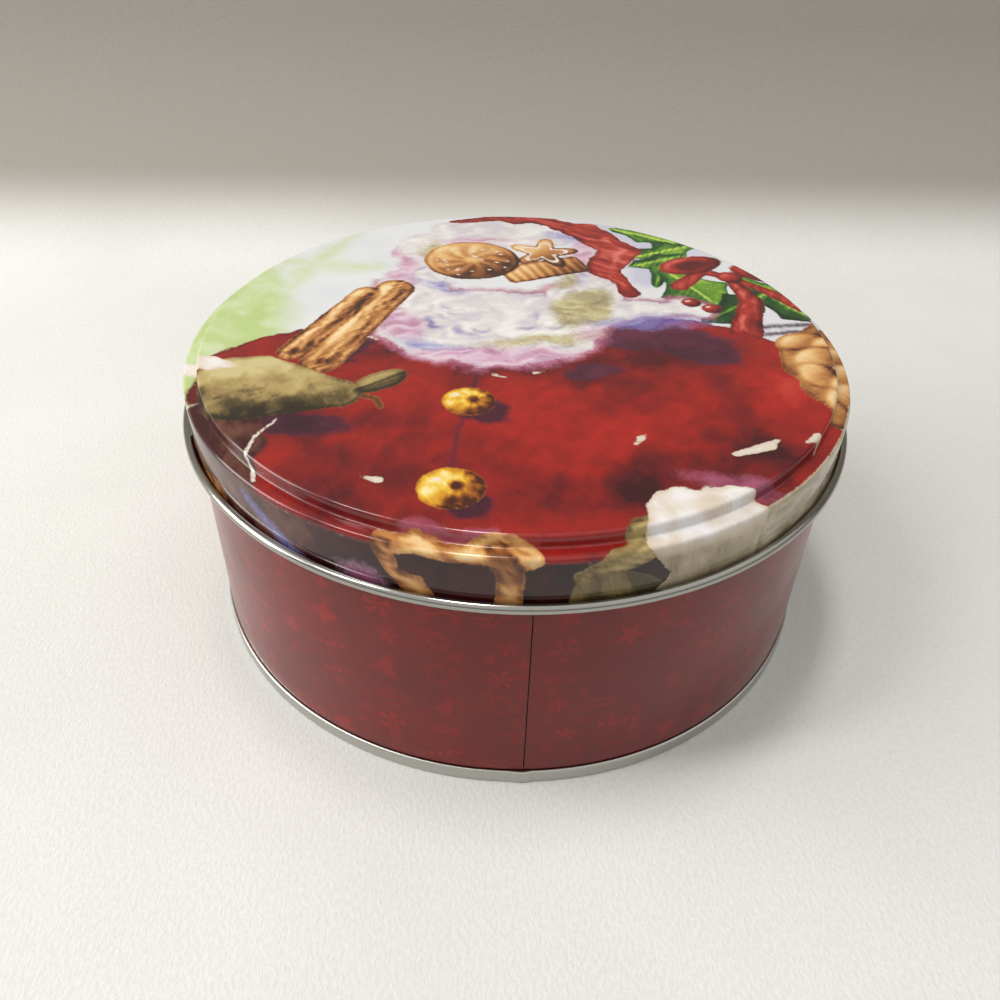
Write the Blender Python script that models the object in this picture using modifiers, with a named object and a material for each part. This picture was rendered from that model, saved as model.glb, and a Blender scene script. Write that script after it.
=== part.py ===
"""Round cookie tin of printed tinplate with a lift-off lid. Metres, +Z up.

The origin is the centre of the face the tin stands on, +Z is the axis of the tin, and the side seam
of the wall faces -Y. The tin comes apart into three pieces of sheet:

    lid         drawn shell: raised panel, ledge, skirt and an outward curl round its mouth
    body_wall   rolled sheet: lock seam down the front, inward curl at the top, hook at the foot
    bottom_end  pressed disc, double seamed round the hook of the wall; its seam is the foot ring
"""

import math

import bmesh
import bpy
from mathutils import Vector

MM = 0.001

# Driving dimensions
SHEET = 0.25 * MM                 # thickness of the tinplate
GAP = 0.25 * MM                   # between two layers of sheet in a seam
SEGMENTS = 64                     # facets round the tin, shared by every turned piece
BEND_STEPS = 2                    # straight pieces in a bend
FOLD_STEPS = 4                    # in the half turn of a seam's hook
CURL_STEPS = 8                    # in a curl
BODY_RADIUS = 97.0 * MM           # outside of the straight wall
BODY_HEIGHT = 83.1 * MM           # top of the wall's curl above the foot

# Double seam at the foot
SEAM_HEIGHT = 4.5 * MM
SEAM_PROUD = 0.8 * MM             # seam ring outside the straight wall
HOOK_LENGTH = 2.2 * MM            # overlap of the two hooks
STAND_BEND = 0.6 * MM             # bend radius at the edges of the standing face
NECK_CLEAR = 0.2 * MM             # flat of the wall between the seam ring and the neck

# Bottom panel
PANEL_RECESS = 3.4 * MM           # underside of the panel above the standing face
BEAD_RADIUS = 84.5 * MM           # middle of the stiffening bead
BEAD_WIDTH = 5.0 * MM
BEAD_TOP_WIDTH = 3.0 * MM
BEAD_HEIGHT = 0.7 * MM

# Curl at the top of the wall
WALL_CURL_RADIUS = 1.1 * MM       # middle of the sheet
WALL_CURL_TURN = 290.0            # degrees of roll

# Lock seam of the wall
SLIT_WIDTH = 0.3 * MM
SLIT_DEPTH = 12.0 * MM            # of the cut, enough to pass through the curl
LOCK_WIDTH = 3.5 * MM             # from the slit to the far fold
LOCK_BELOW_CURL = 0.5 * MM
LOCK_ABOVE_NECK = 0.4 * MM
LOCK_BITE = 0.1 * MM              # depth at which a fold starts inside the wall
LOCK_SET_BACK = 0.02 * MM         # folds stand back from the slit's faces

# Lid
SEAT_GAP = 0.3 * MM               # lid's ledge above the wall's curl
SKIRT_PROUD = 0.9 * MM            # outside of the skirt beyond the wall
SKIRT_BEND = 0.9 * MM
SKIRT_DEPTH = 14.2 * MM           # from the ledge to the middle of the curl
PANEL_RISE = 3.25 * MM            # raised panel above the ledge
STEP_RADIUS = 93.65 * MM          # middle of the step round the panel
STEP_LEAN = 0.22 * MM             # half of the step's run
STEP_TOP_BEND = 0.9 * MM
STEP_FOOT_BEND = 0.8 * MM
LID_CURL_RADIUS = 1.25 * MM       # middle of the sheet
LID_CURL_TURN = 290.0

# Lengths that follow from them
PITCH = SHEET + GAP               # from one layer of a seam to the next
SEAM_OUTER = BODY_RADIUS + SEAM_PROUD - SHEET / 2
BODY_HOOK = SEAM_OUTER - PITCH
COVER_HOOK = BODY_HOOK - PITCH
NECK = COVER_HOOK - PITCH
CHUCK_WALL = NECK - PITCH
WALL = BODY_RADIUS - SHEET / 2
NECK_TOP = SEAM_HEIGHT + 0.5 * MM
LID_SEAT = BODY_HEIGHT + SEAT_GAP

RED_PRINT = (0.30, 0.018, 0.022)
LID_PRINT = (0.42, 0.035, 0.035)
TIN_GREY = (0.55, 0.55, 0.53)


def clear_scene():
    for old in list(bpy.data.objects):
        bpy.data.objects.remove(old, do_unlink=True)


def make_collection(name):
    collection = bpy.data.collections.new(name)
    bpy.context.scene.collection.children.link(collection)
    return collection


def make_material(name, colour, roughness, metallic):
    material = bpy.data.materials.new(name)
    material.use_nodes = True
    shader = material.node_tree.nodes["Principled BSDF"]
    shader.inputs["Base Color"].default_value = (*colour, 1.0)
    shader.inputs["Roughness"].default_value = roughness
    shader.inputs["Metallic"].default_value = metallic
    return material


# Outlines in the plane of radius and height

def arc(centre, radius, start, turn, steps):
    """Points on a circle from angle start, through turn degrees, both ends included."""
    points = []
    for i in range(steps + 1):
        angle = math.radians(start + turn * i / steps)
        points.append(centre + radius * Vector((math.cos(angle), math.sin(angle))))
    return points


def rounded(corners):
    """A line through (x, y, bend radius) corners, each bend an arc tangent to both its sides."""
    places = [Vector(corner[:2]) for corner in corners]
    line = [places[0]]
    for i in range(1, len(corners) - 1):
        bend = corners[i][2]
        back = (places[i - 1] - places[i]).normalized()
        ahead = (places[i + 1] - places[i]).normalized()
        if bend == 0.0:
            line.append(places[i])
            continue
        half = back.angle(ahead) / 2
        centre = places[i] + (back + ahead).normalized() * bend / math.sin(half)
        start = places[i] + back * bend / math.tan(half) - centre
        sweep = math.pi - 2 * half
        side = 1.0 if back.cross(ahead) < 0 else -1.0
        first = math.degrees(math.atan2(start.y, start.x))
        line += arc(centre, bend, first, math.degrees(side * sweep), BEND_STEPS)
    line.append(places[-1])
    return line


def sheet_outline(line, thickness=SHEET):
    """The outline of a sheet whose middle is line, mitred where it bends, clockwise."""
    left = []
    right = []
    for i, point in enumerate(line):
        before = (point - line[i - 1]).normalized() if i > 0 else None
        after = (line[i + 1] - point).normalized() if i < len(line) - 1 else None
        one = before or after
        two = after or before
        normal = Vector((-one.y - two.y, one.x + two.x)).normalized()
        reach = thickness / 2 / max(normal.dot(Vector((-one.y, one.x))), 0.5)
        left.append(point + normal * reach)
        right.append(point - normal * reach)
    outline = left + right[::-1]
    area = sum(a.x * b.y - b.x * a.y for a, b in zip(outline, outline[1:] + outline[:1]))
    return outline if area < 0 else outline[::-1]


def turned(name, line, material, collection):
    """A sheet turned about Z. A line that starts on the axis gives a disc, any other a ring."""
    outline = sheet_outline(line)
    on_axis = line[0].x == 0.0
    edges = [(i, i + 1) for i in range(len(outline) - 1)]
    if on_axis:
        outline[0].x = 0.0
        outline[-1].x = 0.0
    else:
        edges.append((len(outline) - 1, 0))
    mesh = bpy.data.meshes.new(name)
    mesh.from_pydata([(point.x, 0.0, point.y) for point in outline], edges, [])
    mesh.materials.append(material)
    piece = bpy.data.objects.new(name, mesh)
    collection.objects.link(piece)
    piece.rotation_euler.z = math.pi / SEGMENTS      # a facet, not a corner, faces -Y
    screw = piece.modifiers.new("turn", "SCREW")
    screw.axis = "Z"
    screw.angle = 2 * math.pi
    screw.steps = SEGMENTS
    screw.render_steps = SEGMENTS
    screw.use_merge_vertices = True
    screw.merge_threshold = 0.001 * MM
    screw.use_smooth_shade = True
    return piece


# Tools that shape the wall

def hide_tool(tool):
    tool.hide_render = True
    tool.display_type = "WIRE"


def make_slit(cutters):
    """The parting line of the lock seam, cut through the wall, its curl and its hook."""
    block = bmesh.new()
    bmesh.ops.create_cube(block, size=1.0)
    bmesh.ops.scale(block, verts=block.verts, vec=(SLIT_WIDTH, SLIT_DEPTH, 1.2 * BODY_HEIGHT))
    mesh = bpy.data.meshes.new("seam_slit")
    block.to_mesh(mesh)
    block.free()
    slit = bpy.data.objects.new("seam_slit", mesh)
    slit.location = (SLIT_WIDTH / 2, -BODY_RADIUS, BODY_HEIGHT / 2)
    cutters.objects.link(slit)
    hide_tool(slit)
    return slit


def make_fold(name, corners, cutters):
    """One edge of the wall's sheet, folded into the lock. Corners are (along, inward) of its middle."""
    face = -BODY_RADIUS * math.cos(math.pi / SEGMENTS)
    low = NECK_TOP + LOCK_ABOVE_NECK
    high = BODY_HEIGHT - 2 * WALL_CURL_RADIUS - SHEET - LOCK_BELOW_CURL
    strip = bmesh.new()
    foot = [strip.verts.new((along, face + inward, low)) for along, inward in corners]
    edges = [strip.edges.new(pair) for pair in zip(foot, foot[1:])]
    raised = bmesh.ops.extrude_edge_only(strip, edges=edges)["geom"]
    top = [part for part in raised if isinstance(part, bmesh.types.BMVert)]
    bmesh.ops.translate(strip, verts=top, vec=(0, 0, high - low))
    mesh = bpy.data.meshes.new(name)
    strip.to_mesh(mesh)
    strip.free()
    fold = bpy.data.objects.new(name, mesh)
    cutters.objects.link(fold)
    solidify = fold.modifiers.new("sheet", "SOLIDIFY")
    solidify.thickness = SHEET
    solidify.offset = 0.0
    solidify.use_even_offset = True
    hide_tool(fold)
    return fold


def add_boolean(piece, tool, operation):
    boolean = piece.modifiers.new(tool.name, "BOOLEAN")
    boolean.operation = operation
    boolean.solver = "EXACT"
    boolean.object = tool


# The pieces

def make_wall(material, tin, cutters):
    hook_bend = (BODY_HOOK - NECK) / 2
    hook_centre = Vector(((BODY_HOOK + NECK) / 2, SHEET + GAP + SHEET / 2 + hook_bend))
    line = [Vector((BODY_HOOK, hook_centre.y + HOOK_LENGTH))]
    line += arc(hook_centre, hook_bend, 0, -180, FOLD_STEPS)
    line.append(Vector((NECK, SEAM_HEIGHT - NECK_CLEAR)))
    line.append(Vector((WALL, NECK_TOP)))
    curl_centre = Vector((WALL - WALL_CURL_RADIUS, BODY_HEIGHT - SHEET / 2 - WALL_CURL_RADIUS))
    line += arc(curl_centre, WALL_CURL_RADIUS, 0, WALL_CURL_TURN, CURL_STEPS)
    wall = turned("body_wall", line, material, tin)
    add_boolean(wall, make_slit(cutters), "DIFFERENCE")

    half = SHEET / 2
    leg = -LOCK_SET_BACK - half
    outer_fold = [(leg, LOCK_BITE), (leg, 2 * PITCH + half), (-LOCK_WIDTH + PITCH, 2 * PITCH + half)]
    add_boolean(wall, make_fold("outer_fold", outer_fold, cutters), "UNION")
    leg = SLIT_WIDTH + LOCK_SET_BACK + half
    far = -LOCK_WIDTH + half
    inner_fold = [(leg, LOCK_BITE), (leg, 3 * PITCH + half), (far, 3 * PITCH + half), (far, PITCH + half)]
    inner_fold.append((-LOCK_SET_BACK - SHEET - GAP, PITCH + half))
    add_boolean(wall, make_fold("inner_fold", inner_fold, cutters), "UNION")
    return wall


def make_bottom(material, tin):
    panel = PANEL_RECESS + SHEET / 2
    foot = SHEET / 2
    bead_in = BEAD_RADIUS - BEAD_WIDTH / 2
    bead_out = BEAD_RADIUS + BEAD_WIDTH / 2
    bead_top = panel + BEAD_HEIGHT
    turn_bend = (SEAM_OUTER - COVER_HOOK) / 2
    turn_centre = Vector(((SEAM_OUTER + COVER_HOOK) / 2, SEAM_HEIGHT - SHEET / 2 - turn_bend))
    line = rounded([
        (0.0, panel, 0.0),
        (bead_in, panel, 0.0),
        (BEAD_RADIUS - BEAD_TOP_WIDTH / 2, bead_top, 0.0),
        (BEAD_RADIUS + BEAD_TOP_WIDTH / 2, bead_top, 0.0),
        (bead_out, panel, 0.0),
        (CHUCK_WALL, panel, STAND_BEND),
        (CHUCK_WALL, foot, STAND_BEND),
        (SEAM_OUTER, foot, STAND_BEND),
        (SEAM_OUTER, turn_centre.y, 0.0),
    ])
    line += arc(turn_centre, turn_bend, 0, 180, FOLD_STEPS)[1:]
    line.append(Vector((COVER_HOOK, turn_centre.y - HOOK_LENGTH)))
    return turned("bottom_end", line, material, tin)


def make_lid(material, tin):
    """Its own zero height is the underside of the ledge, where it sits on the wall's curl."""
    ledge = SHEET / 2
    panel = ledge + PANEL_RISE
    skirt = BODY_RADIUS + SKIRT_PROUD - SHEET / 2
    curl_centre = Vector((skirt + LID_CURL_RADIUS, SHEET - SKIRT_DEPTH))
    line = rounded([
        (0.0, panel, 0.0),
        (STEP_RADIUS - STEP_LEAN, panel, STEP_TOP_BEND),
        (STEP_RADIUS + STEP_LEAN, ledge, STEP_FOOT_BEND),
        (skirt, ledge, SKIRT_BEND),
        (skirt, curl_centre.y, 0.0),
    ])
    line += arc(curl_centre, LID_CURL_RADIUS, 180, LID_CURL_TURN, CURL_STEPS)[1:]
    lid = turned("lid", line, material, tin)
    lid.location.z = LID_SEAT
    return lid


def main():
    clear_scene()
    tin = make_collection("cookie_tin")
    cutters = make_collection("cutters")
    make_wall(make_material("wall_print", RED_PRINT, 0.25, 0.0), tin, cutters)
    make_bottom(make_material("bare_tinplate", TIN_GREY, 0.3, 1.0), tin)
    make_lid(make_material("lid_print", LID_PRINT, 0.2, 0.0), tin)


main()
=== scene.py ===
"""Looks of the round cookie tin: fine sheet-metal shells, printed and bare tinplate, floor and light.

Lengths are in metres in the part's own frame: +Z is the axis of the tin, and the side seam faces -Y.
The prints are painted in millimetres along the flat sheet. The wall's is drawn by shader nodes alone.
The lid's is worked out as outlines and tones on the shell's vertices, which its nodes colour.
"""

import math

import bmesh
import bpy
import numpy as np
from mathutils import Matrix, Vector, noise


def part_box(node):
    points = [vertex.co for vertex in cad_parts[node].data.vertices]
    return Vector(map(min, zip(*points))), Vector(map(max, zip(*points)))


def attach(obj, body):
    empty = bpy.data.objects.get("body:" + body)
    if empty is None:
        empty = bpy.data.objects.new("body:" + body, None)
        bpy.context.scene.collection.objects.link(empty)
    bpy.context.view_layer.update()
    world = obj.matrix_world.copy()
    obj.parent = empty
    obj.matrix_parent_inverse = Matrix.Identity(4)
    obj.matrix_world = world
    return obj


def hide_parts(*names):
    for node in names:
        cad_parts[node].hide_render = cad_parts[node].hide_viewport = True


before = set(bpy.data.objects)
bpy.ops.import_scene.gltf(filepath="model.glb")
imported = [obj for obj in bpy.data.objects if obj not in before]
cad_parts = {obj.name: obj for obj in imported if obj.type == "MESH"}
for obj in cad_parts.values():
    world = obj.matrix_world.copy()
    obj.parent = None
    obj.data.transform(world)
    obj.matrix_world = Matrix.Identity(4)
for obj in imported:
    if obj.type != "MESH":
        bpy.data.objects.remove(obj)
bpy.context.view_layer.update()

MM = 0.001

# The CAD's own driving dimensions, repeated here because the frame holds only its faceted solids
CAD_SEGMENTS = 64
SHEET = 0.25 * MM
GAP = 0.25 * MM
SEAM_PROUD = 0.8 * MM
HOOK_LENGTH = 2.2 * MM
STAND_BEND = 0.6 * MM
NECK_CLEAR = 0.2 * MM
NECK_RISE = 0.5 * MM
PANEL_RECESS = 3.4 * MM
BEAD_RADIUS = 84.5 * MM
BEAD_WIDTH = 5.0 * MM
BEAD_TOP_WIDTH = 3.0 * MM
BEAD_HEIGHT = 0.7 * MM
SEAT_GAP = 0.3 * MM
SKIRT_PROUD = 0.9 * MM
SKIRT_BEND = 0.9 * MM
SKIRT_DEPTH = 14.2 * MM
PANEL_RISE = 3.25 * MM
STEP_RADIUS = 93.65 * MM
STEP_LEAN = 0.22 * MM
STEP_TOP_BEND = 0.9 * MM
STEP_FOOT_BEND = 0.8 * MM
WALL_CURL_RADIUS = 1.1 * MM
LID_CURL_RADIUS = 1.25 * MM
CURL_TURN = 290.0
SLIT_WIDTH = 0.3 * MM
SLIT_DEPTH = 12 * MM
LOCK_WIDTH = 3.5 * MM
LOCK_BELOW_CURL = 0.5 * MM
LOCK_ABOVE_NECK = 0.4 * MM
LOCK_BITE = 0.1 * MM
LOCK_SET_BACK = 0.02 * MM

# Sizes read from the frame
SEAM_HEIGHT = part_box("bottom_end")[1].z
WALL_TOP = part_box("body_wall")[1].z
SEAM_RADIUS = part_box("bottom_end")[1].x / math.cos(math.pi / CAD_SEGMENTS)
WALL_RADIUS = SEAM_RADIUS - SEAM_PROUD

# Lengths that follow from them. The radii are to the middle of the sheet
HALF_SHEET = SHEET / 2
PITCH = SHEET + GAP               # from one layer of a seam to the next
SEAM_OUTER = SEAM_RADIUS - HALF_SHEET
BODY_HOOK = SEAM_OUTER - PITCH
COVER_HOOK = SEAM_OUTER - 2 * PITCH
NECK = BODY_HOOK - 2 * PITCH
CHUCK_WALL = COVER_HOOK - 2 * PITCH
WALL = WALL_RADIUS - HALF_SHEET
NECK_TOP = SEAM_HEIGHT + NECK_RISE
LID_SEAT = WALL_TOP + SEAT_GAP

# Bends that the CAD leaves sharp
BEAD_BEND = 0.9 * MM
NECK_BEND = 0.4 * MM
LOCK_BEND = HALF_SHEET + 0.05 * MM

# The viewer stands a little to the left of the side seam, and the lid's picture is upright to them
CAMERA_TURN = -2.7                # degrees about Z

# Fineness of the visible shells
SEGMENTS = 360
LID_SEGMENTS = 480                # with LID_ROWS, close enough to carry the picture
BEND_STEPS = 6
FOLD_STEPS = 10
CURL_STEPS = 18
ROWS = (5 * MM, 5 * MM)           # longest steps along the two faces of a sheet
LID_ROWS = (1.1 * MM, 6 * MM)
SHARP = math.radians(40)          # edges bent more than this stay crisp
WELD = 0.0005 * MM


# ---------------------------------------------------------------- outlines and turned sheets

def arc(centre, radius, start, turn, steps):
    """Points on a circle from angle start, through turn degrees, both ends included."""
    points = []
    for i in range(steps + 1):
        angle = math.radians(start + turn * i / steps)
        points.append(centre + radius * Vector((math.cos(angle), math.sin(angle))))
    return points


def rounded(corners, steps=BEND_STEPS):
    """A line through (x, y, bend radius) corners, each bend an arc tangent to both its sides."""
    places = [Vector(corner[:2]) for corner in corners]
    line = [places[0]]
    for i in range(1, len(corners) - 1):
        bend = corners[i][2]
        back = (places[i - 1] - places[i]).normalized()
        ahead = (places[i + 1] - places[i]).normalized()
        if bend == 0.0:
            line.append(places[i])
            continue
        half = back.angle(ahead) / 2
        centre = places[i] + (back + ahead).normalized() * bend / math.sin(half)
        start = places[i] + back * bend / math.tan(half) - centre
        side = 1.0 if back.cross(ahead) < 0 else -1.0
        first = math.degrees(math.atan2(start.y, start.x))
        line += arc(centre, bend, first, math.degrees(side * (math.pi - 2 * half)), steps)
    line.append(places[-1])
    return line


def divided(line, longest):
    """The same line with its long stretches split, so that a surface made from it can be uneven."""
    fine = [line[0]]
    for a, b in zip(line, line[1:]):
        count = max(1, math.ceil((b - a).length / longest))
        fine += [a.lerp(b, (i + 1) / count) for i in range(count)]
    return fine


def sheet_sides(line):
    """The two faces of a sheet whose middle is line, as (radius, height, distance along the sheet)."""
    left = []
    right = []
    along = 0.0
    for i, point in enumerate(line):
        if i > 0:
            along += (point - line[i - 1]).length
        before = (point - line[i - 1]).normalized() if i > 0 else None
        after = (line[i + 1] - point).normalized() if i < len(line) - 1 else None
        one = before or after
        two = after or before
        normal = Vector((-one.y - two.y, one.x + two.x)).normalized()
        reach = HALF_SHEET / max(normal.dot(Vector((-one.y, one.x))), 0.5)
        for side, sign in ((left, 1.0), (right, -1.0)):
            place = point + normal * reach * sign
            side.append((place.x, place.y, along))
    return left, right


def placed(name, data):
    """A new object in the scene that shows a mesh, a lamp or a camera."""
    made = bpy.data.objects.new(name, data)
    bpy.context.scene.collection.objects.link(made)
    return made


def turned(name, line, materials, unrolled, uneven, rows=ROWS, segments=SEGMENTS):
    """A sheet turned about Z. Its left face, looking along the line, has the first material.

    unrolled(angle, along, height) gives the place on the flat sheet, stored in millimetres as the UV
    map "Sheet" and for the vertices as the attribute "flat". uneven(angle, radius, height) gives a
    small (outward, upward) shift. rows is the longest step along the line on each face.
    """
    left = sheet_sides(divided(line, rows[0]))[0]
    right = sheet_sides(divided(line, rows[1]))[1]
    on_axis = line[0].x == 0.0
    outline = left + right[::-1]
    count = len(outline)
    angles = [2 * math.pi * (j + 0.5) / segments for j in range(segments + 1)]
    coords = []
    flat = []
    for radius, height, along in outline:
        for angle in angles[:-1]:
            out, up = uneven(angle, radius, height)
            r = radius + out
            coords.append((r * math.cos(angle), r * math.sin(angle), height + up))
            flat += unrolled(angle, along, height)
    faces = []
    kinds = []
    sheet = []
    for i in range(count - 1 if on_axis else count):
        after = (i + 1) % count
        low, high = outline[i], outline[after]
        for j in range(segments):
            k = (j + 1) % segments
            faces.append((i * segments + j, i * segments + k, after * segments + k, after * segments + j))
            kinds.append(0 if i < len(left) - 1 else 1)
            for side, (_, height, along) in ((j, low), (j + 1, low), (j + 1, high), (j, high)):
                sheet += unrolled(angles[side], along, height)
    mesh = bpy.data.meshes.new(name)
    mesh.from_pydata(coords, [], faces)
    for material in materials:
        mesh.materials.append(material)
    mesh.polygons.foreach_set("material_index", kinds)
    layer = mesh.uv_layers.new(name="Sheet")
    layer.data.foreach_set("uv", np.array(sheet, np.float32) / MM)
    attribute = mesh.attributes.new("flat", "FLOAT2", "POINT")
    attribute.data.foreach_set("vector", np.array(flat, np.float32) / MM)
    piece = placed(name, mesh)
    clean(piece)
    return piece


def clean(piece):
    """Welds what meets on the axis, points the faces outwards and shades the round ones smooth."""
    work = bmesh.new()
    work.from_mesh(piece.data)
    bmesh.ops.remove_doubles(work, verts=work.verts, dist=WELD)
    bmesh.ops.recalc_face_normals(work, faces=work.faces)
    work.to_mesh(piece.data)
    work.free()
    piece.data.shade_smooth()
    piece.data.set_sharp_from_angle(angle=SHARP)


def flat_disc(angle, along, height):
    """Distance from the axis along the sheet, as a place on the round blank."""
    return along * math.cos(angle), along * math.sin(angle)


def flat_strip(angle, along, height):
    """Distance round the wall from the seam, towards +X first, and height."""
    from_seam = (angle + 1.5 * math.pi) % (2 * math.pi) - math.pi
    return from_seam * WALL_RADIUS, height


# ---------------------------------------------------------------- shader node helpers

class Value:
    """A number in a node tree, for plain arithmetic with other values and numbers."""

    def __init__(self, paint, socket):
        self.paint = paint
        self.socket = socket

    def __add__(self, other):
        return self.paint.math("ADD", self, other)

    def __sub__(self, other):
        return self.paint.math("SUBTRACT", self, other)

    def __mul__(self, other):
        return self.paint.math("MULTIPLY", self, other)

    def __truediv__(self, other):
        return self.paint.math("DIVIDE", self, other)

    def __abs__(self):
        return self.paint.math("ABSOLUTE", self)


class Paint:
    """Builds the nodes of a material or a world. What it is fed may be a value, a socket or numbers."""

    def __init__(self, owner, shader="Principled BSDF"):
        owner.use_nodes = True
        self.owner = owner
        self.tree = owner.node_tree
        self.shader = self.tree.nodes[shader]

    def feed(self, socket, value):
        if isinstance(value, Value):
            value = value.socket
        if isinstance(value, bpy.types.NodeSocket):
            self.tree.links.new(value, socket)
        elif socket.type == "RGBA":
            socket.default_value = (*value, 1.0)
        else:
            socket.default_value = value

    def node(self, kind, *values, **settings):
        """A node with these settings, whose first inputs are fed the values."""
        made = self.tree.nodes.new(kind)
        for key, value in settings.items():
            setattr(made, key, value)
        for socket, value in zip(made.inputs, values):
            self.feed(socket, value)
        return made

    def surface(self, inputs):
        """Feeds the shader itself, by the names of its inputs."""
        for key, value in inputs.items():
            self.feed(self.shader.inputs[key], value)

    def math(self, operation, *values):
        return Value(self, self.node("ShaderNodeMath", *values, operation=operation).outputs[0])

    def vector(self, operation, *values):
        return self.node("ShaderNodeVectorMath", *values, operation=operation).outputs[0]

    def split(self, place):
        return [Value(self, part) for part in self.node("ShaderNodeSeparateXYZ", place).outputs]

    def sheet(self):
        """Place on the flat sheet, in millimetres."""
        return self.node("ShaderNodeUVMap", uv_map="Sheet").outputs[0]

    def stored(self, name):
        """A number stored on the vertices."""
        return Value(self, self.node("ShaderNodeAttribute", attribute_name=name).outputs["Fac"])

    def local(self, place, size, turn=0.0, centre=(0, 0)):
        """Place seen from a shape's own frame, where its centre is 0 and its size is 1."""
        values = (place, (*centre, 0.0), (0, 0, math.radians(turn)), size)
        return self.node("ShaderNodeMapping", *values, vector_type="TEXTURE").outputs[0]

    def noise(self, place, size, detail=3.0, roughness=0.55, stretch=(1, 1, 1), turn=0.0):
        """Noise whose lumps are about size across, 0 to 1 about 0.5."""
        spot = self.local(place, [size * s for s in stretch], turn)
        made = self.node("ShaderNodeTexNoise", spot, 0.0, 1.0, detail, roughness)
        return Value(self, made.outputs["Fac"])

    def ramp(self, value, low, high, out_low=0.0, out_high=1.0):
        """Smooth step of value from low to high."""
        values = (value, low, high, out_low, out_high)
        made = self.node("ShaderNodeMapRange", *values, interpolation_type="SMOOTHSTEP")
        return Value(self, made.outputs[0])

    def colours(self, value, colours):
        """Even run through several colours as value goes from 0 to 1."""
        made = self.node("ShaderNodeValToRGB", value)
        stops = made.color_ramp.elements
        stops[0].color = (*colours[0], 1.0)
        stops[-1].color = (*colours[-1], 1.0)
        for i, colour in enumerate(colours[1:-1], 1):
            stops.new(i / (len(colours) - 1)).color = (*colour, 1.0)
        return made.outputs[0]

    def mix(self, factor, below, above):
        made = self.node("ShaderNodeMix", factor, data_type="RGBA")
        self.feed(made.inputs[6], below)
        self.feed(made.inputs[7], above)
        return made.outputs[2]

    def bump(self, height, distance):
        made = self.node("ShaderNodeBump")
        made.inputs["Distance"].default_value = distance
        self.feed(made.inputs["Height"], height)
        self.surface({"Normal": made.outputs[0]})


# ---------------------------------------------------------------- bare tinplate and varnish

def tin_material(name, colour, grain_size, roughness, relief):
    """Bright tinplate: rolling grain, faint flow marks, dull handling patches and tiny scratches."""
    paint = Paint(bpy.data.materials.new(name))
    place = paint.sheet()
    grain = paint.noise(place, grain_size, 4.0, 0.7, (1, 14, 1))
    clouds = paint.noise(place, 14.0)
    scratch = paint.ramp(paint.noise(place, 0.5, 2.0, 0.6, (1, 45, 1), 63.0), 0.66, 0.74)
    tone = grain * 0.10 + clouds * 0.16 - 0.13
    dull = [0.72 * c for c in colour]
    bright = [1.12 * c for c in colour]
    base = paint.mix(tone + 0.5, dull, bright)
    paint.surface({"Base Color": paint.mix(scratch * 0.35, base, bright), "Metallic": 1.0,
                   "Roughness": tone * 0.8 + scratch * 0.12 + roughness})
    paint.bump(grain - scratch * 0.6, relief)
    return paint.owner


PEEL = 0.004 * MM                 # depth of the varnish's orange peel
RUBBING = 0.07                    # roughness that handling adds in patches
DUST = 0.03                       # and dust everywhere


def varnish(paint, colour, place, roughness, density):
    """Glossy varnish over ink: orange peel, faint rubbing, dust-fine unevenness of the gloss."""
    rubbed = paint.ramp(paint.noise(place, 22.0, 4.0, 0.6), 0.45, 0.75, 0.0, RUBBING)
    speck = paint.noise(place, 0.7, 2.0)
    paint.surface({"Base Color": colour, "Roughness": rubbed + speck * DUST + roughness, "IOR": density})
    paint.bump(paint.noise(place, 2.6, 2.0, 0.5), PEEL)


# ---------------------------------------------------------------- the wall's print

WALL_INK = (0.161, 0.0060, 0.0032)
WALL_INK_DEEP = (0.118, 0.0080, 0.0052)
WALL_FIGURE = (0.280, 0.0060, 0.0035)
# painted shade: the near-black that the print turns along the side seam's slit
SLIT_SHADE = (0.020, 0.005, 0.004)
WALL_GLOSS = 0.275
WALL_DENSITY = 1.24
WALL_COAT = 0.42                  # a thin glossier coat over the satin varnish
WALL_COAT_GLOSS = 0.12
CELL_WIDTH = 1.4                  # of an ornament's cell, in its heights
FIGURE_SLIP = (0.22, 0.24, 0.0)   # how far an ornament may stray in its cell
FIGURE_TILT = 0.45                # and how far it may turn, in radians
FIGURE_EDGE = 0.035


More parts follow.
